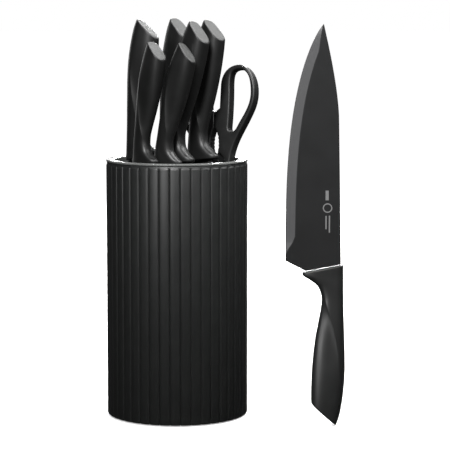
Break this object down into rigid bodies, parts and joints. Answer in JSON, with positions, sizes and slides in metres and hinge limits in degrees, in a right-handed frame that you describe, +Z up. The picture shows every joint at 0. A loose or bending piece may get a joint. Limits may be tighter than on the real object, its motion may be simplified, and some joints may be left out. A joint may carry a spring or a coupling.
{
  "type": "knife block with knives",
  "caption": "Round ribbed knife block with a lift-out pack of flexible rods, standing knives, kitchen shears and a loose cook's knife upright beside it.",
  "frame": {"origin": "centre of the block's underside, on the resting surface", "axes": "+Z up along the block's axis, -Y to the front, +X to the side where the shears and the loose cook's knife stand"},
  "size_m": [0.2003, 0.12, 0.3367],
  "materials": {
    "shell_plastic": "satin black, finely textured",
    "rim_plastic": "satin grey-black",
    "rod_plastic": "matte black",
    "pad_rubber": "matte",
    "handle_plastic": "soft matte black",
    "coated_steel": "satin black non-stick coating",
    "plain_steel": "satin"
  },
  "bodies": {
    "block": {"shell": "shell_plastic", "rim_ring": "rim_plastic", "base_plate": "shell_plastic", "base_pad": "pad_rubber", "base_screw_1": "plain_steel", "base_screw_2": "plain_steel", "base_screw_3": "plain_steel", "base_screw_4": "plain_steel"},
    "insert": {"rod_tray": "rod_plastic", "rod_pack": "rod_plastic"},
    "slicing_knife": {"slicing_knife_blade": "coated_steel", "slicing_knife_handle": "handle_plastic"},
    "bread_knife": {"bread_knife_blade": "coated_steel", "bread_knife_handle": "handle_plastic"},
    "santoku_knife": {"santoku_knife_blade": "coated_steel", "santoku_knife_handle": "handle_plastic"},
    "boning_knife": {"boning_knife_blade": "coated_steel", "boning_knife_handle": "handle_plastic"},
    "utility_knife": {"utility_knife_blade": "coated_steel", "utility_knife_handle": "handle_plastic"},
    "paring_knife": {"paring_knife_blade": "coated_steel", "paring_knife_handle": "handle_plastic"},
    "shears": {"shears_blade_fixed": "coated_steel", "shears_handle_fixed": "handle_plastic", "shears_pivot_screw": "plain_steel", "shears_pivot_nut": "plain_steel"},
    "shears_moving": {"shears_blade_moving": "coated_steel", "shears_handle_moving": "handle_plastic"},
    "chef_knife": {"chef_knife_blade": "coated_steel", "chef_knife_handle": "handle_plastic"}
  },
  "joints": [
    {"name": "insert_lift", "type": "slide", "parent": "block", "child": "insert", "axis": [0, 0, 1], "range_m": [0, 0.22]},
    {"name": "slicing_knife_draw", "type": "slide", "parent": "insert", "child": "slicing_knife", "axis": [0.0506, 0.0418, 0.9978], "range_m": [0, 0.225]},
    {"name": "bread_knife_draw", "type": "slide", "parent": "insert", "child": "bread_knife", "axis": [0.0698, -0.0487, 0.9964], "range_m": [0, 0.225]},
    {"name": "santoku_knife_draw", "type": "slide", "parent": "insert", "child": "santoku_knife", "axis": [0.1702, 0, 0.9854], "range_m": [0, 0.203]},
    {"name": "boning_knife_draw", "type": "slide", "parent": "insert", "child": "boning_knife", "axis": [0.1011, 0.026, 0.9945], "range_m": [0, 0.175]},
    {"name": "utility_knife_draw", "type": "slide", "parent": "insert", "child": "utility_knife", "axis": [0.1908, -0.0343, 0.981], "range_m": [0, 0.152]},
    {"name": "paring_knife_draw", "type": "slide", "parent": "insert", "child": "paring_knife", "axis": [0.1167, 0, 0.9932], "range_m": [0, 0.115]},
    {"name": "shears_draw", "type": "slide", "parent": "insert", "child": "shears", "axis": [0, 0.1994, 0.9799], "range_m": [0, 0.135]},
    {"name": "shears_opening", "type": "hinge", "parent": "shears", "child": "shears_moving", "pos_m": [0.0334, 0.015, 0.212], "axis": [0.5, 0.8486, -0.1727], "range_deg": [0, 13]},
    {"name": "chef_knife_lift", "type": "slide", "parent": "block", "child": "chef_knife", "axis": [0, 0, 1], "range_m": [0, 0.25]}
  ]
}
